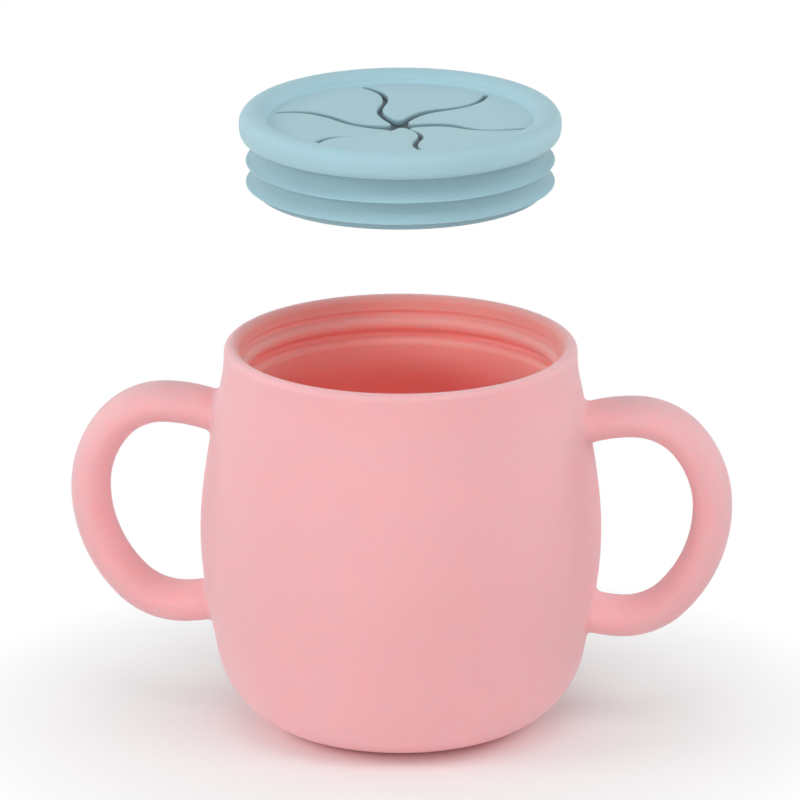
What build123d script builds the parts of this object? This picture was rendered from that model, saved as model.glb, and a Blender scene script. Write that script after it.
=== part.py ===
from build123d import *
import math
import os

# Toddler training cup: a soft cup with two moulded handles, and the snack lid that
# plugs its mouth, shown lifted clear above it. Both are one-piece silicone mouldings.
# The lid's six tongues bend where they join its ring, so each is its own piece here.
# Millimetres, Z up, origin under the middle of the cup's base, handles along X.

# Cup body, outside
base_radius = 19.0
base_corner_radius = 19.8
base_corner_turn = 79.0
belly_radius = 42.0
belly_height = 40.2
shoulder_radius = 40.25
shoulder_height = 60.0
collar_radius = 37.85
collar_height = 73.0
mouth_outer_radius = 36.9
cup_height = 82.7

# Cup mouth and inside: each groove has a bead below it, which holds one rib of the lid
mouth_radius = 33.9
lip_foot_radius = 33.75
lip_depth = 3.0
groove_count = 2
groove_pitch = 4.4
groove_radius = 34.3
bead_radius = 32.3
bead_edge_radius = 33.5
wall_thickness = 2.9
floor_thickness = 3.4

# Handles: a D-shaped bar on each side, an ellipse in section
grip_reach = 65.5
grip_widest_height = 49.5
grip_top_x = 49.5
grip_top_height = 68.4
grip_bottom_x = 46.4
grip_bottom_height = 24.6
grip_top_turn = 50.0
grip_bottom_turn = 45.0
grip_top_root_radius = 32.0
grip_bottom_root_radius = 26.0
grip_root_x = 34.0
grip_thickness = 8.2
grip_depth = 13.0
grip_fillet = 1.3

# Lid ring, heights below the crest of its rim
lid_lift = 47.6
lid_seated_rise = 3.3
rim_radius = 33.5
rim_crest_radius = 31.0
rim_widest_depth = 2.7
rim_foot_depth = 5.7
rim_foot_radius = 32.9
rib_count = 2
rib_radius = 32.1
rib_first_depth = 10.9
rib_pitch = 4.6
rib_flare = 2.1
rib_undercut = 0.35
neck_radius = 30.4
neck_fillet = 0.6
skirt_depth = 17.3
skirt_foot_radius = 30.2
skirt_bore_radius = 27.7
skirt_corner_radius = 0.6

# Lid membrane and its six tongues
membrane_depth = 2.5
membrane_thickness = 1.8
recess_floor_radius = 27.8
recess_top_radius = 28.7
recess_top_depth = 1.1
tongue_count = 6
slit_end_radius = 26.1
slit_gap = 1.1
tongue_tip_radius = 1.2
first_tongue_angle = 23.0
tongue_droops = (3.3, 1.6, 3.8, 6.0, 3.0, 4.6)
hinge_clearance = 0.05
hinge_relief = 0.5
tongue_swing_down = 78.0
tongue_swing_up = 62.0
tongue_root_trim = 1.6

# Worked out from the dimensions above
lid_crest_height = cup_height + lid_seated_rise + lid_lift
hinge_offset = slit_end_radius * math.cos(math.radians(30))
hinge_half_length = slit_end_radius * math.sin(math.radians(30))
hinge_height = lid_crest_height - membrane_depth - membrane_thickness / 2
half_thickness = membrane_thickness / 2

# A slit runs from a corner of the hexagon of hinges to the middle in a long S:
# distance from the lid's axis, and angle from the middle of the tongue beside it.
slit_course = (
    (slit_end_radius, -30.0),
    (20.5, -36.0),
    (14.4, -33.0),
    (10.4, -22.3),
    (6.0, -13.5),
    (0.0, 0.0),
)

os.makedirs("parts", exist_ok=True)


def tangent_radii(across, along, turn):
    """Radii of two tangent arcs that together make a quarter turn.

    The first arc sets off along and turns by the given angle, and the second finishes
    the quarter turn, so that both together cover the two distances.
    """
    s = math.sin(math.radians(turn))
    c = math.cos(math.radians(turn))
    # first * s + second * (1 - s) = along, and first * (1 - c) + second * c = across
    determinant = s * c - (1 - s) * (1 - c)
    first = (along * c - across * (1 - s)) / determinant
    second = (across * s - along * (1 - c)) / determinant
    return first, second


def hinge_plane(angle):
    """Section plane through the middle of one hinge: X outward, Y up."""
    outward = Vector(1, 0, 0).rotate(Axis.Z, angle)
    middle = outward * hinge_offset + Vector(0, 0, hinge_height)
    return Plane(origin=middle, x_dir=outward, z_dir=outward.cross(Vector(0, 0, 1)))


def tongue_plane(angle, droop):
    """Mid-plane of one tongue: origin on its hinge, X outward, tipped down by its droop."""
    outward = Vector(1, 0, 0).rotate(Axis.Z, angle)
    along = Vector(0, 1, 0).rotate(Axis.Z, angle)
    middle = outward * hinge_offset + Vector(0, 0, hinge_height)
    tipped = outward.rotate(Axis((0, 0, 0), along), -droop)
    return Plane(origin=middle, x_dir=tipped, z_dir=tipped.cross(along))


def slit_points(turn):
    """The slit's points in a tongue's own plane, turned about the lid's axis."""
    points = []
    for radius, angle in slit_course:
        heading = math.radians(angle + turn)
        points.append((radius * math.cos(heading) - hinge_offset, radius * math.sin(heading)))
    return points


# Cup: body and handles first, then the root fillets, then the inside with its beads
inside_corner_radius = base_corner_radius - wall_thickness
lip_radius = (mouth_outer_radius - mouth_radius) / 2
lip_middle_radius = (mouth_outer_radius + mouth_radius) / 2
lip_height = cup_height - lip_radius
grip_drop = grip_top_height - grip_widest_height
grip_sweep = grip_widest_height - grip_bottom_height
top_radii = tangent_radii(grip_drop, grip_reach - grip_top_x, grip_top_turn)
bottom_radii = tangent_radii(grip_reach - grip_bottom_x, grip_sweep, grip_bottom_turn)
top_root_turn = math.degrees(math.asin((grip_top_x - grip_root_x) / grip_top_root_radius))
bottom_root_turn = math.degrees(math.asin((grip_bottom_x - grip_root_x) / grip_bottom_root_radius))

with BuildPart() as cup:
    with BuildSketch(Plane.XZ) as body_outline:
        with BuildLine():
            Line((0, 0), (base_radius, 0))
            corner = JernArc((base_radius, 0), (1, 0), base_corner_radius, base_corner_turn)
            wall = Spline(
                corner @ 1,
                (belly_radius, belly_height),
                (shoulder_radius, shoulder_height),
                (collar_radius, collar_height),
                (mouth_outer_radius, lip_height),
                tangents=[corner % 1, (0, 1)],
            )
            ThreePointArc(wall @ 1, (lip_middle_radius, cup_height), (mouth_radius, lip_height))
            Line((mouth_radius, lip_height), (0, lip_height))
            Line((0, lip_height), (0, 0))
        make_face()
    revolve(axis=Axis.Z)
    for side in (1, -1):
        grip_plane = Plane(origin=(0, 0, 0), x_dir=(side, 0, 0), z_dir=(0, -side, 0))
        with BuildLine(grip_plane) as grip_line:
            top_root = JernArc(
                (grip_top_x, grip_top_height), (-1, 0), grip_top_root_radius, top_root_turn
            )
            top_bend = JernArc((grip_top_x, grip_top_height), (1, 0), top_radii[0], -grip_top_turn)
            top_side = JernArc(top_bend @ 1, top_bend % 1, top_radii[1], grip_top_turn - 90)
            low_side = JernArc(top_side @ 1, top_side % 1, bottom_radii[0], -grip_bottom_turn)
            low_bend = JernArc(low_side @ 1, low_side % 1, bottom_radii[1], grip_bottom_turn - 90)
            JernArc(low_bend @ 1, low_bend % 1, grip_bottom_root_radius, -bottom_root_turn)
        with BuildSketch(Plane(origin=top_root @ 1, x_dir=(0, 1, 0), z_dir=top_root % 1)):
            Ellipse(grip_depth / 2, grip_thickness / 2)
        sweep(path=grip_line.wire())
        fillet(cup.edges(Select.NEW), grip_fillet)

    with BuildSketch(Plane.XZ) as inside_outline:
        with BuildLine():
            Line((0, cup_height + 1), (mouth_radius, cup_height + 1))
            Line((mouth_radius, cup_height + 1), (mouth_radius, lip_height))
            lip_foot = Line((mouth_radius, lip_height), (lip_foot_radius, cup_height - lip_depth))
            edge_above = lip_foot @ 1
            for index in range(groove_count):
                groove_top = cup_height - lip_depth - index * groove_pitch
                groove = ThreePointArc(
                    edge_above,
                    (groove_radius, groove_top - groove_pitch / 6),
                    (bead_edge_radius, groove_top - groove_pitch / 3),
                )
                bead_crest = Vector(bead_radius, groove_top - groove_pitch * 2 / 3)
                TangentArc(bead_crest, groove @ 1, tangent=(0, 1))
                if index < groove_count - 1:
                    bead_foot = (bead_edge_radius, groove_top - groove_pitch)
                    edge_above = TangentArc(bead_crest, bead_foot, tangent=(0, -1)) @ 1
            # The lowest bead runs on into the wall
            inside_corner = JernArc(
                (base_radius, floor_thickness), (1, 0), inside_corner_radius, base_corner_turn
            )
            Spline(
                inside_corner @ 1,
                (belly_radius - wall_thickness, belly_height),
                (shoulder_radius - wall_thickness, shoulder_height),
                bead_crest,
                tangents=[inside_corner % 1, (0, 1)],
            )
            Line((base_radius, floor_thickness), (0, floor_thickness))
            Line((0, floor_thickness), (0, cup_height + 1))
        make_face()
    revolve(axis=Axis.Z, mode=Mode.SUBTRACT)

cup.part.label = "cup"
export_step(cup.part, "parts/cup.step")

# Lid ring: rim, two flared ribs, hollow skirt and the membrane's outer border
crest = lid_crest_height
with BuildPart() as lid_ring:
    with BuildSketch(Plane.XZ) as ring_outline:
        with BuildLine():
            recess_wall = Spline(
                (recess_floor_radius, crest - membrane_depth),
                (recess_top_radius, crest - recess_top_depth),
                (rim_crest_radius, crest),
                tangents=[(0.2, 1), (1, 0)],
            )
            rim_side = Spline(
                recess_wall @ 1,
                (rim_radius, crest - rim_widest_depth),
                (rim_foot_radius, crest - rim_foot_depth),
                tangents=[(1, 0), (0, -1), (-1, -1)],
            )
            neck_top = crest - rim_foot_depth - rib_undercut
            rim_under = Line(rim_side @ 1, (neck_radius + neck_fillet, neck_top))
            neck_start = rim_under @ 1
            for rib in range(rib_count):
                edge_height = crest - rib_first_depth - rib * rib_pitch
                into_neck = RadiusArc(neck_start, (neck_radius, neck_start.Y - neck_fillet), neck_fillet)
                neck = Line(into_neck @ 1, (neck_radius, edge_height + rib_flare))
                flare = TangentArc(neck @ 1, (rib_radius, edge_height), tangent=(0, -1))
                under = Line(flare @ 1, (neck_radius + neck_fillet, edge_height - rib_undercut))
                neck_start = under @ 1
            foot = Line(neck_start, (skirt_foot_radius, crest - skirt_depth + skirt_corner_radius))
            foot_corner = TangentArc(
                foot @ 1, (skirt_foot_radius - skirt_corner_radius, crest - skirt_depth), tangent=(0, -1)
            )
            foot_face = Line(foot_corner @ 1, (skirt_bore_radius, crest - skirt_depth))
            bore = Line(foot_face @ 1, (skirt_bore_radius, crest - membrane_depth - membrane_thickness))
            membrane_under = Line(bore @ 1, (0, crest - membrane_depth - membrane_thickness))
            axis_line = Line(membrane_under @ 1, (0, crest - membrane_depth))
            Line(axis_line @ 1, recess_wall @ 0)
        make_face()
    revolve(axis=Axis.Z)

    # The six-sided window: each side is a rounded seat for a tongue's root, cut back
    # above and below so that the tongue can swing.
    seat_radius = half_thickness + hinge_clearance
    cut_height = half_thickness + hinge_relief
    down = math.radians(tongue_swing_down)
    up = math.radians(tongue_swing_up)
    seat_low = Vector(math.sin(down), -math.cos(down)) * seat_radius
    seat_high = Vector(math.sin(up), math.cos(up)) * seat_radius
    relief_low = seat_low.X - (cut_height + seat_low.Y) / math.tan(down)
    relief_high = seat_high.X - (cut_height - seat_high.Y) / math.tan(up)
    for tongue in range(tongue_count):
        seat_plane = hinge_plane(first_tongue_angle + 360 / tongue_count * tongue)
        with BuildSketch(seat_plane) as seat:
            with BuildLine():
                Polyline(
                    seat_high,
                    (relief_high, cut_height),
                    (-hinge_offset, cut_height),
                    (-hinge_offset, -cut_height),
                    (relief_low, -cut_height),
                    seat_low,
                )
                ThreePointArc(seat_low, (seat_radius, 0), seat_high)
            make_face()
        extrude(amount=hinge_half_length, both=True, mode=Mode.SUBTRACT)

lid_ring.part.label = "lid_ring"
export_step(lid_ring.part, "parts/lid_ring.step")

# Tongues: a plate with a rounded root that turns in its seat, cut to the plan between
# two slits
for tongue in range(tongue_count):
    plan_plane = tongue_plane(first_tongue_angle + 360 / tongue_count * tongue, tongue_droops[tongue])
    section_plane = Plane(origin=plan_plane.origin, x_dir=plan_plane.x_dir, z_dir=-plan_plane.y_dir)
    with BuildPart() as lid_tongue:
        with BuildSketch(section_plane):
            with BuildLine():
                Polyline(
                    (0, half_thickness),
                    (-hinge_offset, half_thickness),
                    (-hinge_offset, -half_thickness),
                    (0, -half_thickness),
                )
                ThreePointArc((0, -half_thickness), (half_thickness, 0), (0, half_thickness))
            make_face()
        extrude(amount=hinge_half_length, both=True)
        with BuildSketch(plan_plane) as plan:
            with BuildLine():
                near_slit = Spline(*slit_points(0))
                far_slit = Spline(*slit_points(360 / tongue_count))
                Polyline(
                    near_slit @ 0,
                    (membrane_thickness, -hinge_half_length),
                    (membrane_thickness, hinge_half_length),
                    far_slit @ 0,
                )
            make_face()
            trace([near_slit, far_slit], line_width=slit_gap, mode=Mode.SUBTRACT)
            tip = plan.vertices().sort_by_distance((-hinge_offset, 0, 0))[0]
            fillet(tip, tongue_tip_radius)
            root_end = hinge_half_length - tongue_root_trim / 2
            with Locations((membrane_thickness / 2, root_end), (membrane_thickness / 2, -root_end)):
                Rectangle(membrane_thickness, tongue_root_trim, mode=Mode.SUBTRACT)
        extrude(amount=membrane_thickness, both=True, mode=Mode.INTERSECT)
    name = f"lid_tongue_{tongue + 1}"
    lid_tongue.part.label = name
    export_step(lid_tongue.part, f"parts/{name}.step")
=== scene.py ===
import math

import bmesh
import bpy
import numpy as np
from mathutils import Matrix, Vector
from mathutils.geometry import delaunay_2d_cdt


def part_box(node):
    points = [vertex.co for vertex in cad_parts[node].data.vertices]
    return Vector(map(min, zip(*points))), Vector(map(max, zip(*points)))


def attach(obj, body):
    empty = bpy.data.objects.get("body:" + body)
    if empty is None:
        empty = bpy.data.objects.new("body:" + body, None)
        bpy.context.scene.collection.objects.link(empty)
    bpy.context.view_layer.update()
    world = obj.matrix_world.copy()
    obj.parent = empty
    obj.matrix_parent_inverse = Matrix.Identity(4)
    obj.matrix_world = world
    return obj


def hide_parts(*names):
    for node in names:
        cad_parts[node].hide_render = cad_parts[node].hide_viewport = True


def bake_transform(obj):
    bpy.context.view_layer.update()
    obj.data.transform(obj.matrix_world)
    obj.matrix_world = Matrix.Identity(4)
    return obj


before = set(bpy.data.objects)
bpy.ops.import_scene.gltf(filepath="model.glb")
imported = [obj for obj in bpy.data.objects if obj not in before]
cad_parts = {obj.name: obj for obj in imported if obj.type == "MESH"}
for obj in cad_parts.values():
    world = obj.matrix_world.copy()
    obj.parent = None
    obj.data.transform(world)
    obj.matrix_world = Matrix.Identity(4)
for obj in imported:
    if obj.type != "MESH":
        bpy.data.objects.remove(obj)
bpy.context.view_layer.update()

# A toddler training cup and its snack lid, dressed for the photograph's view.
# The cup is the CAD node itself with a silicone material. The lid's ring and its six
# tongues are rebuilt as fine meshes, so that the tongues bend out of the ring without
# a seam. Sizes are in millimetres, apart from those whose comment says metres, and MM
# turns them into metres.
MM = 0.001

# Camera: a long lens on a frame 800 pixels wide, a little to the right of the front
FRAME_PIXELS = 800
PIXELS_PER_MM = 4.787
CAMERA_DISTANCE = 2500.0
CAMERA_ELEVATION = 17.45
CAMERA_AZIMUTH = 6.6
CAMERA_ROLL = -0.1
AIM_HEIGHT = 70.3
AIM_SHIFT = -0.15
SENSOR = 36.0

# Soft lights: azimuth and elevation in degrees, turning right from the front, and watts
LAMPS = {
    "key": (-65, 28, 12),
    "fill": (60, 42, 7.5),
    "front": (5, 20, 7.5),
    "top": (10, 60, 6.5),
    "back_left": (-122, 20, 6.5),
    "back_right": (122, 20, 7.5),
}
WORLD_LEVEL = 0.25
DIFFUSE_BOUNCES = 16
MAX_BOUNCES = 20

# The lamps' distance and size and how far the camera sees, in metres
LAMP_DISTANCE = 2.0
LAMP_SIZE = 0.9
CLIP_END = 20.0

# Floor, in metres: it fades to white between two distances from the cup's axis
FLOOR_SIZE = 8
FLOOR_GAP = 0.0002
FADE_START = 0.03
FADE_END = 0.10
FLOOR_TONE = 0.9
FLOOR_ROUGHNESS = 0.9

# Silicone: colours, among them painted shade for the cup's inside and for the lid, the sizes of its
# clouds, ripple and grain, and its gloss
CUP_PINK = (0.94, 0.53, 0.555)
# painted shade and bounced light: a deeper, redder colour for the cup's inside, standing in for its
# shade and the light bounced between its walls
CUP_INSIDE_PAINTED_SHADE = (1.0, 0.46, 0.425)
LID_BLUE = (0.41, 0.64, 0.715)
# painted shade: the lid's slits, underside and grooves are darkened towards this colour
LID_PAINTED_SHADE = (0.02, 0.07, 0.08)
GLOW_DEPTH = 3.0
GLOW_SPREAD = (1.0, 0.3, 0.25)
CLOUD_SCALE = 28
CLOUD_DETAIL = 3
CLOUD_LOW = 0.3
CLOUD_HIGH = 0.7
CLOUD_TONE = 0.97
RIPPLE_SCALE = 160
RIPPLE_DEPTH = 0.08
RIPPLE_STRENGTH = 0.25
GRAIN_SCALE = 2600
GRAIN_DEPTH = 0.03
GRAIN_STRENGTH = 0.3
FINE_DETAIL = 2
ROUGHNESS_LOW = 0.52
ROUGHNESS_HIGH = 0.62
REFRACTION = 1.41
SPECULAR = 0.4
SHEEN = 0.12
SHEEN_ROUGHNESS = 0.5

# Where the cup's painted inside shade applies: radii, heights, and how far a surface has to turn
# inward
BODY_RADIUS = 43.0
FLOOR_REACH = 20.0
MOUTH_START = 60.0
MOUTH_IN = 34.3
MOUTH_OUT = 35.3
INWARD_LOW = 0.1
INWARD_HIGH = 0.6

# Lid ring: distances from the lid's axis, and depths below the crest of its rim
RIM_RADIUS = 33.5
RIM_CREST_RADIUS = 31.0
RIM_WIDEST_DEPTH = 2.7
RIM_FOOT_DEPTH = 5.7
RIM_FOOT_RADIUS = 32.9
RIM_FOOT_ROUND = 0.2
RIB_COUNT = 2
RIB_RADIUS = 32.1
RIB_FIRST_DEPTH = 10.9
RIB_PITCH = 4.6
RIB_FLARE = 2.1
RIB_UNDERCUT = 0.35
RIB_ROUND = 0.08
NECK_RADIUS = 30.4
NECK_FILLET = 0.6
SKIRT_DEPTH = 17.3
SKIRT_FOOT_RADIUS = 30.2
SKIRT_BORE_RADIUS = 27.7
SKIRT_CORNER = 0.6
BORE_FILLET = 0.6
MEMBRANE_DEPTH = 2.5
MEMBRANE_THICKNESS = 1.8
FLAT_RADIUS = 27.15
RECESS_FOOT_RADIUS = 27.4
RECESS_SIDE_RADIUS = 28.2
RECESS_SIDE_DEPTH = 1.75

# Headings of the recess's side and of the ribs' flares in the ring's section: outward, down
RECESS_SLOPE = (0.25, -1)
FLARE_SLOPE = (1, 0.4)

# Tongues: radii, angles and droops in degrees, and the course of a slit as radius and angle
TONGUES = 6
FIRST_TONGUE_ANGLE = 23.0
SLIT_END_RADIUS = 26.1
SLIT_GAP = 1.1
TIP_RADIUS = 1.2
TONGUE_DROOPS = (3.3, 1.6, 3.8, 6.0, 3.0, 4.6)
SLIT_COURSE = (
    (SLIT_END_RADIUS, -30.0),
    (20.5, -36.0),
    (14.4, -33.0),
    (10.4, -22.3),
    (6.0, -13.5),
    (0.0, 0.0),
)
EDGE_ROUND = 0.28
BEND_LENGTH = 6.0

# Painted shade on the lid, as a share of its deep colour: 1 deep in the slits, and less at their
# edges, below and in the grooves
EDGE_PAINTED_SHADE = 0.35
UNDER_PAINTED_SHADE = 0.45
GROOVE_PAINTED_SHADE = 0.26

# Fineness of the meshes
EDGE_STEPS = (0.0, 0.3, 1.0)
ROWS = 56
COLUMNS = 18
SLIT_STEPS = 24
TIP_POINTS = 21
NOTCH_POINTS = 11
RING_STEPS = 240
RECESS_FOOT_POINTS = 8
RIM_TOP_POINTS = 12
RIM_SIDE_POINTS = 9
FLARE_POINTS = 10
CORNER_POINTS = 7
BORE_POINTS = 6
JOIN_DISTANCE = 0.002
LEAST_WIDTH = 1e-6
FILL_TOLERANCE = 1e-5

TURN = 360 / TONGUES
HINGE_OFFSET = SLIT_END_RADIUS * math.cos(math.radians(TURN / 2))
HINGE_HALF = SLIT_END_RADIUS * math.sin(math.radians(TURN / 2))
CREST_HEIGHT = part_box("lid_ring")[1][2] / MM
MEMBRANE_TOP = CREST_HEIGHT - MEMBRANE_DEPTH
MEMBRANE_UNDER = MEMBRANE_TOP - MEMBRANE_THICKNESS


# Curves and meshes
def smooth_through(points, steps):
    """A natural cubic curve through the points, with even steps between each two."""
    p = np.array(points, float)
    gaps = np.linalg.norm(np.diff(p, axis=0), axis=1)
    count = len(p)
    system = np.eye(count)
    right = np.zeros_like(p)
    for i in range(1, count - 1):
        system[i, i - 1:i + 2] = gaps[i - 1], 2 * (gaps[i - 1] + gaps[i]), gaps[i]
        right[i] = 6 * ((p[i + 1] - p[i]) / gaps[i] - (p[i] - p[i - 1]) / gaps[i - 1])
    bend = np.linalg.solve(system, right)
    line = []
    for i in range(count - 1):
        for b in np.linspace(0, 1, steps, endpoint=False):
            a = 1 - b
            sag = ((a ** 3 - a) * bend[i] + (b ** 3 - b) * bend[i + 1]) * gaps[i] ** 2 / 6
            line.append(a * p[i] + b * p[i + 1] + sag)
    line.append(p[-1])
    return np.array(line)


def resample(line, count):
    """Points spaced evenly along a polyline."""
    length = np.concatenate([[0], np.cumsum(np.linalg.norm(np.diff(line, axis=0), axis=1))])
    wanted = np.linspace(0, length[-1], count)
    return np.stack([np.interp(wanted, length, line[:, k]) for k in range(2)], axis=1)


def offset_line(line, distance):
    """A polyline moved sideways, to its left for a positive distance."""
    heading = np.gradient(line, axis=0)
    heading /= np.linalg.norm(heading, axis=1)[:, None]
    return line + distance * np.stack([-heading[:, 1], heading[:, 0]], axis=1)


def arc(centre, radius, start, end, count):
    """Points on a circle from one angle to another, in degrees."""
    angles = np.radians(np.linspace(start, end, count))
    return np.array(centre) + radius * np.stack([np.cos(angles), np.sin(angles)], axis=1)


def hermite(a, leaving, b, arriving, count):
    """Points on a cubic from a to b that leaves and arrives along the given headings."""
    a, b = np.array(a, float), np.array(b, float)
    size = np.linalg.norm(b - a)
    start = np.array(leaving, float) / np.linalg.norm(leaving) * size
    end = np.array(arriving, float) / np.linalg.norm(arriving) * size
    s = np.linspace(0, 1, count)[:, None]
    return ((2 * s ** 3 - 3 * s ** 2 + 1) * a + (s ** 3 - 2 * s ** 2 + s) * start
            + (3 * s ** 2 - 2 * s ** 3) * b + (s ** 3 - s ** 2) * end)


def turned(points, angle):
    """Points in a tongue's frame (X outward, Y along its hinge) turned into the part's frame."""
    c, s = math.cos(math.radians(angle)), math.sin(math.radians(angle))
    p = np.array(points, float)
    out = p.copy()
    out[:, 0] = p[:, 0] * c - p[:, 1] * s
    out[:, 1] = p[:, 0] * s + p[:, 1] * c
    return out


def new_mesh(name, points, faces, caps, painted_shade, material):
    """A smooth-shaded object from points in millimetres, with points that coincide joined.

    The caps are the faces where two pieces of the lid meet, and keep sharp edges. The
    painted shade says how much of the lid's deep colour each point gets, for the material.
    """
    mesh = bpy.data.meshes.new(name)
    work = bmesh.new()
    layer = work.verts.layers.float.new("painted_shade")
    corners = [work.verts.new(p) for p in np.array(points) * MM]
    for corner, value in zip(corners, painted_shade):
        corner[layer] = value
    for face in faces:
        work.faces.new([corners[i] for i in face]).smooth = True
    for cap in caps:
        for edge in work.faces.new([corners[i] for i in cap]).edges:
            edge.smooth = False
    bmesh.ops.remove_doubles(work, verts=work.verts, dist=JOIN_DISTANCE * MM)
    bmesh.ops.recalc_face_normals(work, faces=work.faces)
    work.to_mesh(mesh)
    work.free()
    mesh.materials.append(material)
    obj = bpy.data.objects.new(name, mesh)
    bpy.context.scene.collection.objects.link(obj)
    return obj


# Materials
def noise(nodes, links, place, scale, detail):
    """A noise texture in the part's own coordinates."""
    texture = nodes.new("ShaderNodeTexNoise")
    texture.inputs["Scale"].default_value = scale
    texture.inputs["Detail"].default_value = detail
    links.new(place.outputs["Object"], texture.inputs["Vector"])
    return texture.outputs["Fac"]


def remap(nodes, links, value, low, high, to_low, to_high):
    """A value carried from one range to another."""
    step = nodes.new("ShaderNodeMapRange")
    step.inputs["From Min"].default_value = low
    step.inputs["From Max"].default_value = high
    step.inputs["To Min"].default_value = to_low
    step.inputs["To Max"].default_value = to_high
    links.new(value, step.inputs["Value"])
    return step.outputs["Result"]


def bump(nodes, links, height, distance, strength, under=None):
    """A bump of the given depth, on top of another one where that is given."""
    step = nodes.new("ShaderNodeBump")
    step.inputs["Strength"].default_value = strength
    step.inputs["Distance"].default_value = distance
    links.new(height, step.inputs["Height"])
    if under is not None:
        links.new(under, step.inputs["Normal"])
    return step.outputs["Normal"]


def maths(nodes, links, operation, a, b):
    """One step of arithmetic on a value and another value or number."""
    step = nodes.new("ShaderNodeMath")
    step.operation = operation
    links.new(a, step.inputs[0])
    if isinstance(b, (int, float)):
        step.inputs[1].default_value = b
    else:
        links.new(b, step.inputs[1])
    return step.outputs["Value"]


def mix(nodes, links, share, a, b):
    """A colour between two, each a plain colour or the outcome of another step."""
    step = nodes.new("ShaderNodeMix")
    step.data_type = "RGBA"
    links.new(share, step.inputs["Factor"])
    for socket, colour in (("A", a), ("B", b)):
        if isinstance(colour, tuple):
            step.inputs[socket].default_value = (*colour, 1)
        else:
            links.new(colour, step.inputs[socket])
    return step.outputs["Result"]


def cup_painted_shade_mask(nodes, links, place):
    """Painted shade and bounced light: 1 on the cup's inner wall and floor, 0 outside and on the
    handles.
    """
    normal = nodes.new("ShaderNodeSeparateXYZ")
    links.new(place.outputs["Normal"], normal.inputs["Vector"])
    position = nodes.new("ShaderNodeSeparateXYZ")
    links.new(place.outputs["Object"], position.inputs["Vector"])
    outward = nodes.new("ShaderNodeCombineXYZ")
    links.new(position.outputs["X"], outward.inputs["X"])
    links.new(position.outputs["Y"], outward.inputs["Y"])
    radius = nodes.new("ShaderNodeVectorMath")
    radius.operation = "LENGTH"
    links.new(outward.outputs["Vector"], radius.inputs[0])
    facing = nodes.new("ShaderNodeVectorMath")
    facing.operation = "DOT_PRODUCT"
    links.new(outward.outputs["Vector"], facing.inputs[0])
    links.new(place.outputs["Normal"], facing.inputs[1])
    inward = maths(nodes, links, "DIVIDE", facing.outputs["Value"], radius.outputs["Value"])
    body = maths(nodes, links, "LESS_THAN", radius.outputs["Value"], BODY_RADIUS * MM)
    inward = maths(nodes, links, "MULTIPLY", inward, body)
    low = maths(nodes, links, "LESS_THAN", position.outputs["Z"], FLOOR_REACH * MM)
    upward = maths(nodes, links, "MULTIPLY", normal.outputs["Z"], low)
    turned_in = maths(nodes, links, "SUBTRACT", upward, inward)
    turned_in = remap(nodes, links, turned_in, INWARD_LOW, INWARD_HIGH, 0, 1)
    # the beads turn every way, so near the mouth the distance from the axis counts too
    near_mouth = remap(nodes, links, radius.outputs["Value"], MOUTH_IN * MM, MOUTH_OUT * MM, 1, 0)
    high = maths(nodes, links, "GREATER_THAN", position.outputs["Z"], MOUTH_START * MM)
    near_mouth = maths(nodes, links, "MULTIPLY", near_mouth, high)
    return maths(nodes, links, "MAXIMUM", turned_in, near_mouth)


def lid_painted_shade_mask(nodes, links, place):
    """Painted shade: 1 deep in the slits, less under the lid and in its grooves, 0 on its top."""
    value = nodes.new("ShaderNodeAttribute")
    value.attribute_name = "painted_shade"
    return value.outputs["Fac"]


def silicone(name, colour, painted_inner_colour, inside):
    """Matte moulded silicone: faint clouds, a fine powdery grain and painted shade inside, a deeper
    tone for shade and bounced light.
    """
    material = bpy.data.materials.new(name)
    material.use_nodes = True
    nodes, links = material.node_tree.nodes, material.node_tree.links
    skin = nodes["Principled BSDF"]
    place = nodes.new("ShaderNodeTexCoord")
    clouds = noise(nodes, links, place, CLOUD_SCALE, CLOUD_DETAIL)
    clouds = remap(nodes, links, clouds, CLOUD_LOW, CLOUD_HIGH, 0, 1)
    outer = mix(nodes, links, clouds, colour, tuple(c * CLOUD_TONE for c in colour))
    inner = mix(nodes, links, clouds, painted_inner_colour, tuple(c * CLOUD_TONE for c in painted_inner_colour))
    # painted shade: the mask mixes in the deeper colour where the cup's inside, or the lid's slits,
    # underside and grooves, lie in shade
    links.new(mix(nodes, links, inside(nodes, links, place), outer, inner), skin.inputs["Base Color"])
    ripple = noise(nodes, links, place, RIPPLE_SCALE, FINE_DETAIL)
    grain = noise(nodes, links, place, GRAIN_SCALE, FINE_DETAIL)
    grain = bump(nodes, links, grain, GRAIN_DEPTH * MM, GRAIN_STRENGTH)
    surface = bump(nodes, links, ripple, RIPPLE_DEPTH * MM, RIPPLE_STRENGTH, grain)
    links.new(surface, skin.inputs["Normal"])
    roughness = remap(nodes, links, ripple, 0, 1, ROUGHNESS_LOW, ROUGHNESS_HIGH)
    links.new(roughness, skin.inputs["Roughness"])
    skin.inputs["IOR"].default_value = REFRACTION
    skin.inputs["Specular IOR Level"].default_value = SPECULAR
    skin.inputs["Sheen Weight"].default_value = SHEEN
    skin.inputs["Sheen Roughness"].default_value = SHEEN_ROUGHNESS
    return material, skin


cup_silicone, cup_skin = silicone("cup_silicone", CUP_PINK, CUP_INSIDE_PAINTED_SHADE, cup_painted_shade_mask)
cup_skin.inputs["Subsurface Weight"].default_value = 1.0
cup_skin.inputs["Subsurface Radius"].default_value = GLOW_SPREAD
cup_skin.inputs["Subsurface Scale"].default_value = GLOW_DEPTH * MM
lid_silicone, _ = silicone("lid_silicone", LID_BLUE, LID_PAINTED_SHADE, lid_painted_shade_mask)

# Cup: the CAD node carries the material
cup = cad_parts["cup"]
cup.data.materials.clear()
cup.data.materials.append(cup_silicone)


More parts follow.
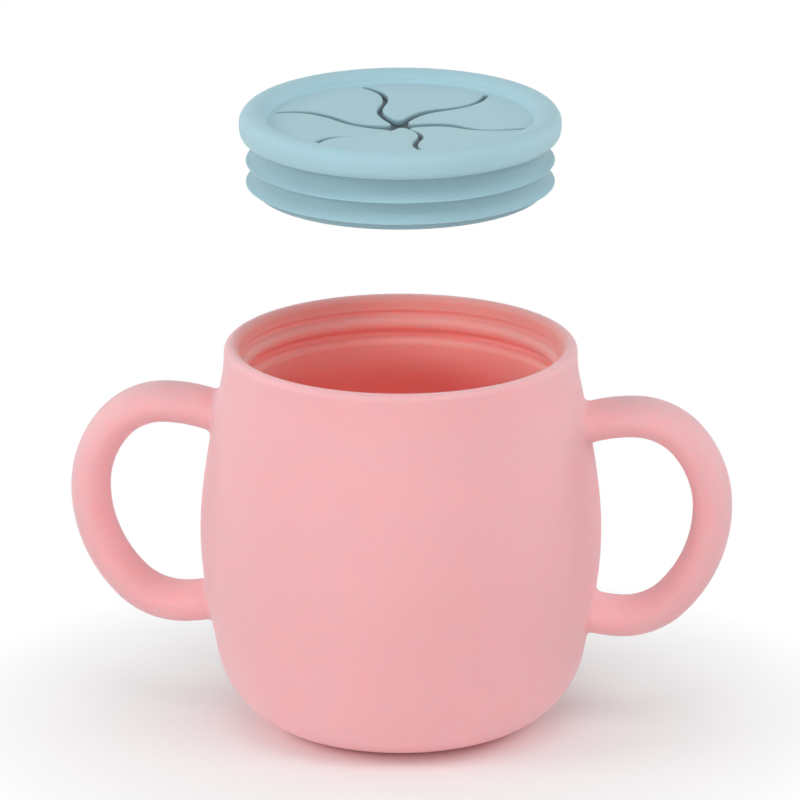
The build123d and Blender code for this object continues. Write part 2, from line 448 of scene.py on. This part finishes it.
# Lid: one tongue's plan, in its own frame
def from_hinge(run):
    """A run of points cut, or carried on, to start on the hinge line."""
    first = max(1, int(np.argmax(run[:, 0] < HINGE_OFFSET)))
    a, b = run[first - 1], run[first]
    start = a + (b - a) * (HINGE_OFFSET - a[0]) / (b[0] - a[0])
    return np.vstack([start, run[first:]])


def tongue_sides():
    """The tongue's two free sides, each from the hinge line to the middle of its rounded tip."""
    bends = [(math.radians(a), r) for r, a in SLIT_COURSE]
    slit = smooth_through([(r * math.cos(a), r * math.sin(a)) for a, r in bends], SLIT_STEPS)
    near = offset_line(slit, -SLIT_GAP / 2)
    far = offset_line(turned(slit, TURN), SLIT_GAP / 2)
    # the tip's circle touches both sides: its middle is where their offsets cross
    near_middles = offset_line(near, -TIP_RADIUS)
    far_middles = offset_line(far, TIP_RADIUS)
    first = len(slit) // 3
    spans = np.linalg.norm(near_middles[first:, None] - far_middles[None, first:], axis=2)
    i, j = np.unravel_index(spans.argmin(), spans.shape)
    i, j = i + first, j + first
    middle = (near_middles[i] + far_middles[j]) / 2
    start = math.degrees(math.atan2(*(near[i] - middle)[::-1]))
    end = math.degrees(math.atan2(*(far[j] - middle)[::-1]))
    sweep = (end - start + 180) % 360 - 180
    # the tip lies on the side of the circle that faces the lid's axis
    if np.dot(arc(middle, 1, start + sweep / 2, start + sweep / 2, 1)[0] - middle, middle) > 0:
        sweep -= math.copysign(360, sweep)
    tip = arc(middle, TIP_RADIUS, start, start + sweep, TIP_POINTS)
    half = TIP_POINTS // 2 + 1
    near_line = np.concatenate([from_hinge(near[:i + 1]), tip[1:half]])
    far_line = np.concatenate([from_hinge(far[:j + 1]), tip[::-1][1:half]])
    return resample(near_line, ROWS + 1), resample(far_line, ROWS + 1)


near_side, far_side = tongue_sides()
outline = np.concatenate([near_side, far_side[::-1][1:]])


def edge_drop(point):
    """How far the rounded edge lies below the face at a point of the tongue's plan."""
    run = np.diff(outline, axis=0)
    share = np.clip(((point - outline[:-1]) * run).sum(1) / (run * run).sum(1), 0, 1)
    distance = np.linalg.norm(outline[:-1] + share[:, None] * run - point, axis=1).min()
    inside = max(0.0, EDGE_ROUND - distance)
    return EDGE_ROUND - math.sqrt(EDGE_ROUND ** 2 - inside ** 2)


def edge_slope(side):
    """The sine of the angle between a side and the hinge line, where they meet."""
    run = side[1] - side[0]
    return abs(run[0]) / np.linalg.norm(run)


def across(width, near_reach, far_reach):
    """Shares of the way across a tongue, closer together over its two rounded edges."""
    near = [step * near_reach / width for step in EDGE_STEPS]
    far = [1 - step * far_reach / width for step in EDGE_STEPS]
    middle = np.linspace(near[-1], far[-1], COLUMNS - 2 * len(EDGE_STEPS) + 2)[1:-1]
    return near + list(middle) + far[::-1]


ROOT_WIDTH = far_side[0][1] - near_side[0][1]
NEAR_REACH = EDGE_ROUND / edge_slope(near_side)
FAR_REACH = EDGE_ROUND / edge_slope(far_side)
ROOT_SHARES = across(ROOT_WIDTH, NEAR_REACH, FAR_REACH)


def tongue_skin(index):
    """One tongue: a plate between two slits with rounded free edges, drooping a little."""
    angle = FIRST_TONGUE_ANGLE + TURN * index
    slope = math.tan(math.radians(TONGUE_DROOPS[index]))
    top, under, top_painted_shade, under_painted_shade = [], [], [], []
    for row in range(ROWS + 1):
        a, b = near_side[row], far_side[row]
        width = max(np.linalg.norm(b - a), LEAST_WIDTH)
        inset = min(EDGE_ROUND, width / 4)
        shares = across(width, inset, inset) if row else ROOT_SHARES
        for share in shares:
            p = a + (b - a) * share
            drop = edge_drop(p)
            reach = HINGE_OFFSET - p[0]
            if reach < BEND_LENGTH:
                sink = slope * reach ** 2 / (2 * BEND_LENGTH)
            else:
                sink = slope * (reach - BEND_LENGTH / 2)
            top.append((p[0], p[1], MEMBRANE_TOP - drop - sink))
            under.append((p[0], p[1], MEMBRANE_UNDER + drop - sink))
            # painted shade: darker over the tongue's rounded edges, and more so underneath
            top_painted_shade.append(EDGE_PAINTED_SHADE * drop / EDGE_ROUND)
            under_painted_shade.append(UNDER_PAINTED_SHADE + (1 - UNDER_PAINTED_SHADE) * drop / EDGE_ROUND)
    below = len(top)
    faces = []
    caps = [(i, below + i, below + i + 1, i + 1) for i in range(COLUMNS - 1)]
    for row in range(ROWS):
        for column in range(COLUMNS - 1):
            i = row * COLUMNS + column
            j = i + COLUMNS
            faces.append((i, i + 1, j + 1, j))
            faces.append((below + i, below + j, below + j + 1, below + i + 1))
        for i in (row * COLUMNS, row * COLUMNS + COLUMNS - 1):
            faces.append((i, i + COLUMNS, below + i + COLUMNS, below + i))
    points = turned(top + under, angle)
    painted_shade = top_painted_shade + under_painted_shade
    skin = new_mesh(f"tongue_{index + 1}_skin", points, faces, caps, painted_shade, lid_silicone)
    middle = (MEMBRANE_TOP + MEMBRANE_UNDER) / 2
    root = turned([(HINGE_OFFSET, 0, middle), (HINGE_OFFSET - BEND_LENGTH, 0, middle)], angle) * MM
    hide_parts(f"lid_tongue_{index + 1}")
    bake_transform(skin)


def root_points(level):
    """A tongue's root along its hinge line, in its own frame, cut at one level of the edge."""
    low = level * NEAR_REACH / ROOT_WIDTH
    high = 1 - level * FAR_REACH / ROOT_WIDTH
    shares = np.clip(ROOT_SHARES, low, high)
    return np.array([(HINGE_OFFSET, near_side[0][1] + ROOT_WIDTH * share) for share in shares])


def window(level):
    """The membrane's inner border at one level of its rounded edge, with its drop below the face.

    Level 1 is where the rounding leaves the flat face and level 0 is the wall of the slit.
    Along the hinge lines the border is the tongues' own root, and between them it runs
    round the ends of the slits.
    """
    root = root_points(level)
    heading = far_side[1] - far_side[0]
    start = math.degrees(math.atan2(heading[0], -heading[1]))
    end_of_slit = (HINGE_OFFSET, HINGE_HALF)
    notch = arc(end_of_slit, SLIT_GAP / 2 + level * EDGE_ROUND, start, start + 180, NOTCH_POINTS)
    notch_drop = edge_drop(far_side[0] - (0, level * FAR_REACH))
    drops = [edge_drop(p) for p in root] + [notch_drop] * NOTCH_POINTS
    border = np.concatenate([root, notch])
    points = np.concatenate([turned(border, FIRST_TONGUE_ANGLE + TURN * i) for i in range(TONGUES)])
    return points, np.array(drops * TONGUES)


def ring_profile():
    """The lid's section from the recess over the rim and ribs to its underside: radius, depth."""
    under = MEMBRANE_DEPTH + MEMBRANE_THICKNESS
    recess_foot = (RECESS_FOOT_RADIUS, MEMBRANE_DEPTH)
    recess_side = (RECESS_SIDE_RADIUS, RECESS_SIDE_DEPTH)
    crest = (RIM_CREST_RADIUS, 0)
    widest = (RIM_RADIUS, RIM_WIDEST_DEPTH)
    rim_foot = (RIM_FOOT_RADIUS, RIM_FOOT_DEPTH - RIM_FOOT_ROUND)
    out, down, in_and_down = (1, 0), (0, 1), (-1, 1)
    parts = [
        [(FLAT_RADIUS, MEMBRANE_DEPTH)],
        hermite(recess_foot, out, recess_side, RECESS_SLOPE, RECESS_FOOT_POINTS),
        hermite(recess_side, RECESS_SLOPE, crest, out, RIM_TOP_POINTS)[1:],
        hermite(crest, out, widest, down, RIM_TOP_POINTS)[1:],
        hermite(widest, down, rim_foot, in_and_down, RIM_SIDE_POINTS)[1:],
        [(RIM_FOOT_RADIUS - RIM_FOOT_ROUND, RIM_FOOT_DEPTH)],
    ]
    depth = RIM_FOOT_DEPTH + RIB_UNDERCUT
    for rib in range(RIB_COUNT):
        edge = RIB_FIRST_DEPTH + rib * RIB_PITCH
        fillet = (NECK_RADIUS + NECK_FILLET, depth + NECK_FILLET)
        rib_top = (RIB_RADIUS - RIB_ROUND, edge - RIB_ROUND)
        parts += [
            arc(fillet, NECK_FILLET, -90, -180, CORNER_POINTS),
            hermite((NECK_RADIUS, edge - RIB_FLARE), down, rib_top, FLARE_SLOPE, FLARE_POINTS),
            [(RIB_RADIUS, edge), (RIB_RADIUS - RIB_ROUND, edge + RIB_ROUND)],
        ]
        depth = edge + RIB_UNDERCUT
    corner_depth = SKIRT_DEPTH - SKIRT_CORNER
    bore_end = (SKIRT_BORE_RADIUS, SKIRT_DEPTH - 2 * SKIRT_CORNER)
    bore_top = (SKIRT_BORE_RADIUS, under + BORE_FILLET)
    bore_fillet = (SKIRT_BORE_RADIUS - BORE_FILLET, under + BORE_FILLET)
    parts += [
        [(NECK_RADIUS + NECK_FILLET, depth), (SKIRT_FOOT_RADIUS, depth + NECK_FILLET)],
        arc((SKIRT_FOOT_RADIUS - SKIRT_CORNER, corner_depth), SKIRT_CORNER, 0, 90, CORNER_POINTS),
        arc((SKIRT_BORE_RADIUS + SKIRT_CORNER, corner_depth), SKIRT_CORNER, 90, 180, CORNER_POINTS),
        np.linspace(bore_end, bore_top, BORE_POINTS),
        arc(bore_fillet, BORE_FILLET, 0, -90, BORE_POINTS)[1:],
    ]
    return np.concatenate([np.array(part, float) for part in parts])


def painted_shade_at(radius, depth):
    """How much painted shade a point of the ring's section gets: the grooves a little, the inside
    more.
    """
    if depth <= MEMBRANE_DEPTH:
        return 0.0
    if radius < SKIRT_BORE_RADIUS + SKIRT_CORNER:
        return UNDER_PAINTED_SHADE
    if depth < RIM_FOOT_DEPTH:
        return 0.0
    groove = (RIB_RADIUS - min(radius, RIB_RADIUS)) / (RIB_RADIUS - NECK_RADIUS)
    return GROOVE_PAINTED_SHADE * min(1.0, groove)


def flat_between(inner, outer):
    """Triangles that fill the flat face between two closed loops, as indices along both."""
    corners = np.concatenate([inner, outer])
    count = len(inner)
    border = [(i, (i + 1) % count) for i in range(count)]
    places = [Vector(p) for p in corners]
    _, _, faces, came_from, _, _ = delaunay_2d_cdt(places, border, [], 0, FILL_TOLERANCE)
    triangles = [[came_from[corner][0] for corner in face] for face in faces]
    # a triangle whose middle lies within the inner loop would close the window
    x_from, y_from = inner.T
    x_to, y_to = np.roll(inner, -1, axis=0).T
    rise = np.where(y_from == y_to, 1, y_to - y_from)
    kept = []
    for triangle in triangles:
        x, y = corners[triangle].mean(axis=0)
        spans = (y_from > y) != (y_to > y)
        to_the_right = x < x_from + (x_to - x_from) * (y - y_from) / rise
        if (spans & to_the_right).sum() % 2 == 0:
            kept.append(triangle)
    return kept


def ring_skin():
    """The lid's ring: its section turned round the axis, closed by the tongues' window."""
    levels = [window(level) for level in EDGE_STEPS]
    angles = np.linspace(0, 2 * math.pi, RING_STEPS, endpoint=False)
    circle = np.stack([np.cos(angles), np.sin(angles)], axis=1)
    profile = ring_profile()
    loops, painted_shades = [], []
    # painted shade: each loop gets its share of the lid's painted shade, over the rounded edges, in
    # the grooves and underneath
    for points, drops in levels:
        loops.append(np.column_stack([points, MEMBRANE_TOP - drops]))
        painted_shades.append(EDGE_PAINTED_SHADE * drops / EDGE_ROUND)
    for radius, depth in profile:
        loops.append(np.column_stack([circle * radius, np.full(RING_STEPS, CREST_HEIGHT - depth)]))
        painted_shades.append(np.full(RING_STEPS, painted_shade_at(radius, depth)))
    for points, drops in levels[::-1]:
        loops.append(np.column_stack([points, MEMBRANE_UNDER + drops]))
        painted_shades.append(UNDER_PAINTED_SHADE + (1 - UNDER_PAINTED_SHADE) * drops / EDGE_ROUND)
    starts = np.concatenate([[0], np.cumsum([len(loop) for loop in loops])])
    faces, caps = [], []
    for a, b, loop, next_loop in zip(starts, starts[1:], loops, loops[1:]):
        if len(loop) == len(next_loop):
            i = np.arange(len(loop))
            j = (i + 1) % len(loop)
            faces += np.stack([a + i, a + j, b + j, b + i], axis=1).tolist()
    top_border = len(levels) - 1
    under_border = len(loops) - len(levels)
    for border, round_loop in ((top_border, top_border + 1), (under_border, under_border - 1)):
        inner, outer = loops[border][:, :2], loops[round_loop][:, :2]
        numbers = np.concatenate([
            starts[border] + np.arange(len(inner)),
            starts[round_loop] + np.arange(len(outer)),
        ])
        faces += [numbers[face].tolist() for face in flat_between(inner, outer)]
    count = len(loops[0])
    for i in range(count):
        j = (i + 1) % count
        hinge = i % (COLUMNS + NOTCH_POINTS) < COLUMNS - 1
        (caps if hinge else faces).append((starts[-2] + i, starts[-2] + j, j, i))
    painted_shade = np.concatenate(painted_shades)
    skin = new_mesh("lid_ring_skin", np.concatenate(loops), faces, caps, painted_shade, lid_silicone)
    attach(skin, "lid")
    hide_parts("lid_ring")


ring_skin()
for number in range(TONGUES):
    tongue_skin(number)


# Floor, light and camera
def background_rays(nodes, links):
    """1 for rays that see the background as it looks, in the view, in gloss and through glass."""
    ray = nodes.new("ShaderNodeLightPath")
    seen = maths(nodes, links, "MAXIMUM", ray.outputs["Is Camera Ray"], ray.outputs["Is Glossy Ray"])
    return maths(nodes, links, "MAXIMUM", seen, ray.outputs["Is Transmission Ray"])


def floor_material():
    """Pale floor that keeps the cup's soft shadow and fades to plain white away from it."""
    material = bpy.data.materials.new("floor_white")
    material.use_nodes = True
    nodes, links = material.node_tree.nodes, material.node_tree.links
    base = nodes["Principled BSDF"]
    base.inputs["Base Color"].default_value = (FLOOR_TONE, FLOOR_TONE, FLOOR_TONE, 1)
    base.inputs["Roughness"].default_value = FLOOR_ROUGHNESS
    white = nodes.new("ShaderNodeEmission")
    place = nodes.new("ShaderNodeTexCoord")
    length = nodes.new("ShaderNodeVectorMath")
    length.operation = "LENGTH"
    links.new(place.outputs["Object"], length.inputs[0])
    fade = remap(nodes, links, length.outputs["Value"], FADE_START, FADE_END, 0, 1)
    share = maths(nodes, links, "MULTIPLY", background_rays(nodes, links), fade)
    blend = nodes.new("ShaderNodeMixShader")
    links.new(share, blend.inputs["Fac"])
    links.new(base.outputs["BSDF"], blend.inputs[1])
    links.new(white.outputs["Emission"], blend.inputs[2])
    links.new(blend.outputs["Shader"], nodes["Material Output"].inputs["Surface"])
    return material


bpy.ops.mesh.primitive_plane_add(size=FLOOR_SIZE, location=(0, 0, -FLOOR_GAP))
floor = bpy.context.object
floor.name = "floor"
floor.data.materials.append(floor_material())

world = bpy.data.worlds.new("studio")
bpy.context.scene.world = world
world.use_nodes = True
world_nodes, world_links = world.node_tree.nodes, world.node_tree.links
sky = world_nodes["Background"]
sky.inputs["Color"].default_value = (1, 1, 1, 1)
seen = background_rays(world_nodes, world_links)
strength = remap(world_nodes, world_links, seen, 0, 1, WORLD_LEVEL, 1)
world_links.new(strength, sky.inputs["Strength"])


def direction(azimuth, elevation):
    """The way out from the object at an azimuth, turning right from the front."""
    a, e = math.radians(azimuth), math.radians(elevation)
    return Vector((math.sin(a) * math.cos(e), -math.cos(a) * math.cos(e), math.sin(e)))


def soft_box(name, azimuth, elevation, power):
    """A square soft light, aimed at the middle of the object."""
    lamp = bpy.data.lights.new(name, "AREA")
    lamp.shape = "SQUARE"
    lamp.size = LAMP_SIZE
    lamp.energy = power
    obj = bpy.data.objects.new(name, lamp)
    away = direction(azimuth, elevation)
    obj.location = away * LAMP_DISTANCE + Vector((0, 0, AIM_HEIGHT * MM))
    obj.rotation_euler = (-away).to_track_quat("-Z", "Y").to_euler()
    bpy.context.scene.collection.objects.link(obj)


for lamp_name, (azimuth, elevation, power) in LAMPS.items():
    soft_box(lamp_name, azimuth, elevation, power)

away = direction(CAMERA_AZIMUTH, CAMERA_ELEVATION)
aside = Vector((-away.y, away.x, 0)).normalized()
camera_data = bpy.data.cameras.new("camera")
camera_data.sensor_width = SENSOR
camera_data.lens = PIXELS_PER_MM * CAMERA_DISTANCE / FRAME_PIXELS * SENSOR
camera_data.clip_end = CLIP_END
camera = bpy.data.objects.new("camera", camera_data)
place = (aside * AIM_SHIFT + Vector((0, 0, AIM_HEIGHT)) + away * CAMERA_DISTANCE) * MM
facing = (-away).to_track_quat("-Z", "Y").to_matrix().to_4x4()
roll = Matrix.Rotation(math.radians(CAMERA_ROLL), 4, "Z")
camera.matrix_world = Matrix.Translation(place) @ facing @ roll
bpy.context.scene.collection.objects.link(camera)
bpy.context.scene.camera = camera
bpy.context.scene.view_settings.view_transform = "Standard"
# the cup's inside is lit by light that has bounced many times between its walls
bpy.context.scene.cycles.diffuse_bounces = DIFFUSE_BOUNCES
bpy.context.scene.cycles.max_bounces = MAX_BOUNCES
